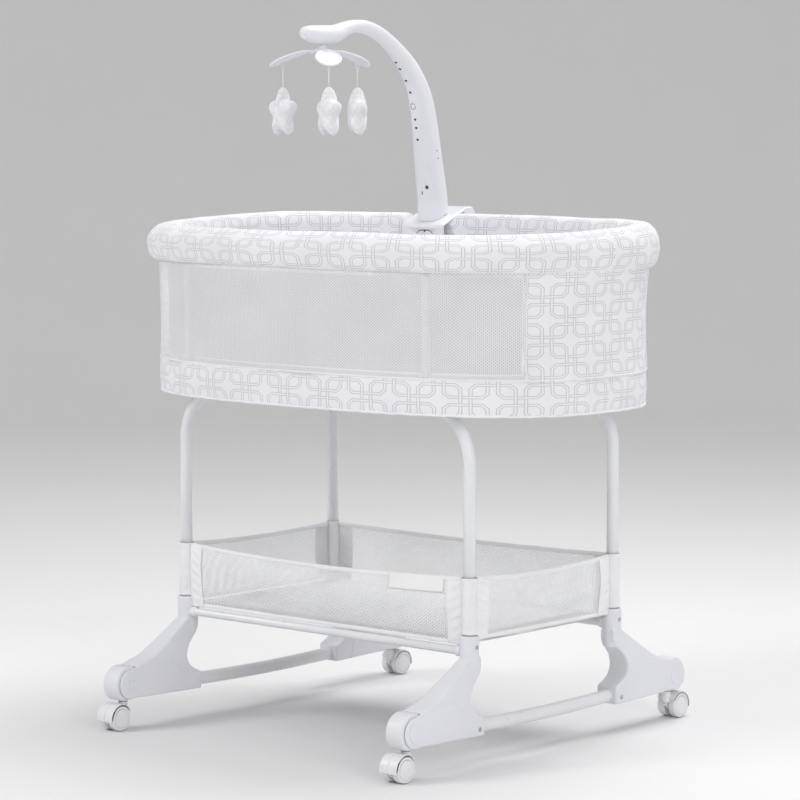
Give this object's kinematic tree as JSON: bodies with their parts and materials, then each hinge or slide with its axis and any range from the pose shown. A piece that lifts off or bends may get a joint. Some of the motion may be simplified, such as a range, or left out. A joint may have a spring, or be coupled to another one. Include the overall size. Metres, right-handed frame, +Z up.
{
  "type": "bassinet on stand",
  "caption": "Oval mesh-sided baby bassinet with a padded rim on a tubular rocking stand with fold-up casters, a storage basket and a clip-on mobile.",
  "frame": {"origin": "on the floor under the middle of the crib and of the four feet", "axes": "+Z up, +X along the crib's long side, +Y from the front long side to the long side that carries the mobile"},
  "size_m": [0.876, 0.7234, 1.1291],
  "materials": {
    "painted_tube": "satin white powder coat",
    "moulded_plastic": "satin white moulded plastic with a faint cool tint",
    "caster_plastic": "smooth white moulded plastic",
    "mobile_plastic": "smooth white moulded plastic",
    "dark_plastic": "small dark marks",
    "print_cloth": "white padded cloth with a pale grey interlocking line print",
    "mesh_cloth": "white knitted mesh",
    "pad_cloth": "white brushed cloth",
    "plush": "short white plush",
    "string": "white braided string",
    "board": "thin pressed board",
    "bare_steel": "zinc plated"
  },
  "bodies": {
    "stand": {"leg_frame_front": "painted_tube", "cross_bar_front": "painted_tube", "leg_frame_back": "painted_tube", "cross_bar_back": "painted_tube", "rocker_rail_left": "painted_tube", "rocker_rail_right": "painted_tube", "foot_front_left": "moulded_plastic", "wheel_pivot_front_left": "moulded_plastic", "foot_front_right": "moulded_plastic", "wheel_pivot_front_right": "moulded_plastic", "foot_back_left": "moulded_plastic", "wheel_pivot_back_left": "moulded_plastic", "foot_back_right": "moulded_plastic", "wheel_pivot_back_right": "moulded_plastic", "base_hoop_left": "painted_tube", "rim_frame_left": "painted_tube", "cross_strap_left": "bare_steel", "base_hoop_right": "painted_tube", "rim_frame_right": "painted_tube", "cross_strap_right": "bare_steel", "base_board": "board", "mattress": "pad_cloth", "lower_band": "print_cloth", "mesh_wall": "mesh_cloth", "rim_pad": "print_cloth", "storage_basket": "mesh_cloth", "basket_floor_board": "board", "mobile_clamp": "moulded_plastic", "mobile_arm": "mobile_plastic"},
    "holder_front_left": {"caster_holder_front_left": "moulded_plastic"},
    "caster_front_left": {"caster_hood_front_left": "caster_plastic"},
    "wheel_front_left_a": {"wheel_front_left_a": "caster_plastic"},
    "wheel_front_left_b": {"wheel_front_left_b": "caster_plastic"},
    "holder_front_right": {"caster_holder_front_right": "moulded_plastic"},
    "caster_front_right": {"caster_hood_front_right": "caster_plastic"},
    "wheel_front_right_a": {"wheel_front_right_a": "caster_plastic"},
    "wheel_front_right_b": {"wheel_front_right_b": "caster_plastic"},
    "holder_back_left": {"caster_holder_back_left": "moulded_plastic"},
    "caster_back_left": {"caster_hood_back_left": "caster_plastic"},
    "wheel_back_left_a": {"wheel_back_left_a": "caster_plastic"},
    "wheel_back_left_b": {"wheel_back_left_b": "caster_plastic"},
    "holder_back_right": {"caster_holder_back_right": "moulded_plastic"},
    "caster_back_right": {"caster_hood_back_right": "caster_plastic"},
    "wheel_back_right_a": {"wheel_back_right_a": "caster_plastic"},
    "wheel_back_right_b": {"wheel_back_right_b": "caster_plastic"},
    "button": {"mobile_button": "dark_plastic"},
    "knob": {"clamp_knob": "moulded_plastic"},
    "rotor": {"mobile_hub": "mobile_plastic", "mobile_petal_1": "mobile_plastic", "mobile_petal_2": "mobile_plastic", "mobile_petal_3": "mobile_plastic"},
    "string_1": {"toy_string_1": "string"},
    "star_1": {"plush_star_1": "plush"},
    "string_2": {"toy_string_2": "string"},
    "star_2": {"plush_star_2": "plush"},
    "string_3": {"toy_string_3": "string"},
    "star_3": {"plush_star_3": "plush"}
  },
  "joints": [
    {"name": "fold_front_left", "type": "hinge", "parent": "stand", "child": "holder_front_left", "pos_m": [-0.2995, -0.321, 0.072], "axis": [-1, 0, 0], "range_deg": [0, 90]},
    {"name": "swivel_front_left", "type": "hinge", "parent": "holder_front_left", "child": "caster_front_left", "pos_m": [-0.2995, -0.321, 0.05], "axis": [0, 0, 1], "continuous": true},
    {"name": "roll_front_left_a", "type": "hinge", "parent": "caster_front_left", "child": "wheel_front_left_a", "pos_m": [-0.2995, -0.339, 0.0199], "axis": [1, 0, 0], "continuous": true},
    {"name": "roll_front_left_b", "type": "hinge", "parent": "caster_front_left", "child": "wheel_front_left_b", "pos_m": [-0.2995, -0.339, 0.0199], "axis": [1, 0, 0], "continuous": true},
    {"name": "fold_front_right", "type": "hinge", "parent": "stand", "child": "holder_front_right", "pos_m": [0.2995, -0.321, 0.072], "axis": [-1, 0, 0], "range_deg": [0, 90]},
    {"name": "swivel_front_right", "type": "hinge", "parent": "holder_front_right", "child": "caster_front_right", "pos_m": [0.2995, -0.321, 0.05], "axis": [0, 0, 1], "continuous": true},
    {"name": "roll_front_right_a", "type": "hinge", "parent": "caster_front_right", "child": "wheel_front_right_a", "pos_m": [0.2995, -0.339, 0.0199], "axis": [1, 0, 0], "continuous": true},
    {"name": "roll_front_right_b", "type": "hinge", "parent": "caster_front_right", "child": "wheel_front_right_b", "pos_m": [0.2995, -0.339, 0.0199], "axis": [1, 0, 0], "continuous": true},
    {"name": "fold_back_left", "type": "hinge", "parent": "stand", "child": "holder_back_left", "pos_m": [-0.2995, 0.321, 0.072], "axis": [1, 0, 0], "range_deg": [0, 90]},
    {"name": "swivel_back_left", "type": "hinge", "parent": "holder_back_left", "child": "caster_back_left", "pos_m": [-0.2995, 0.321, 0.05], "axis": [0, 0, 1], "continuous": true},
    {"name": "roll_back_left_a", "type": "hinge", "parent": "caster_back_left", "child": "wheel_back_left_a", "pos_m": [-0.2995, 0.339, 0.0199], "axis": [1, 0, 0], "continuous": true},
    {"name": "roll_back_left_b", "type": "hinge", "parent": "caster_back_left", "child": "wheel_back_left_b", "pos_m": [-0.2995, 0.339, 0.0199], "axis": [1, 0, 0], "continuous": true},
    {"name": "fold_back_right", "type": "hinge", "parent": "stand", "child": "holder_back_right", "pos_m": [0.2995, 0.321, 0.072], "axis": [1, 0, 0], "range_deg": [0, 90]},
    {"name": "swivel_back_right", "type": "hinge", "parent": "holder_back_right", "child": "caster_back_right", "pos_m": [0.2995, 0.321, 0.05], "axis": [0, 0, 1], "continuous": true},
    {"name": "roll_back_right_a", "type": "hinge", "parent": "caster_back_right", "child": "wheel_back_right_a", "pos_m": [0.2995, 0.339, 0.0199], "axis": [1, 0, 0], "continuous": true},
    {"name": "roll_back_right_b", "type": "hinge", "parent": "caster_back_right", "child": "wheel_back_right_b", "pos_m": [0.2995, 0.339, 0.0199], "axis": [1, 0, 0], "continuous": true},
    {"name": "button_press", "type": "slide", "parent": "stand", "child": "button", "axis": [0, 1, 0], "range_m": [0, 0.0012], "stiffness_N_per_m": 800, "springref_m": -0.0005},
    {"name": "knob_turn", "type": "hinge", "parent": "stand", "child": "knob", "pos_m": [-0.126, 0.29, 0.765], "axis": [0, 1, 0], "continuous": true},
    {"name": "mobile_turn", "type": "hinge", "parent": "stand", "child": "rotor", "pos_m": [-0.126, -0.036, 1.08], "axis": [0, 0, 1], "continuous": true},
    {"name": "string_swing_1", "type": "hinge", "parent": "rotor", "child": "string_1", "pos_m": [-0.07222, -0.08081, 1.054], "axis": [0.7683, -0.6401, 0], "range_deg": [-25, 25]},
    {"name": "star_swing_1", "type": "hinge", "parent": "string_1", "child": "star_1", "pos_m": [-0.07222, -0.08081, 1.0225], "axis": [0.6401, 0.7683, 0], "range_deg": [-30, 30]},
    {"name": "string_swing_2", "type": "hinge", "parent": "rotor", "child": "string_2", "pos_m": [-0.11409, 0.03298, 1.054], "axis": [0.1702, 0.9854, 0], "range_deg": [-25, 25]},
    {"name": "star_swing_2", "type": "hinge", "parent": "string_2", "child": "star_2", "pos_m": [-0.11409, 0.03298, 1.0225], "axis": [-0.9854, 0.1702, 0], "range_deg": [-30, 30]},
    {"name": "string_swing_3", "type": "hinge", "parent": "rotor", "child": "string_3", "pos_m": [-0.19169, -0.06017, 1.054], "axis": [-0.9385, -0.3453, 0], "range_deg": [-25, 25]},
    {"name": "star_swing_3", "type": "hinge", "parent": "string_3", "child": "star_3", "pos_m": [-0.19169, -0.06017, 1.0225], "axis": [0.3453, -0.9385, 0], "range_deg": [-30, 30]}
  ]
}
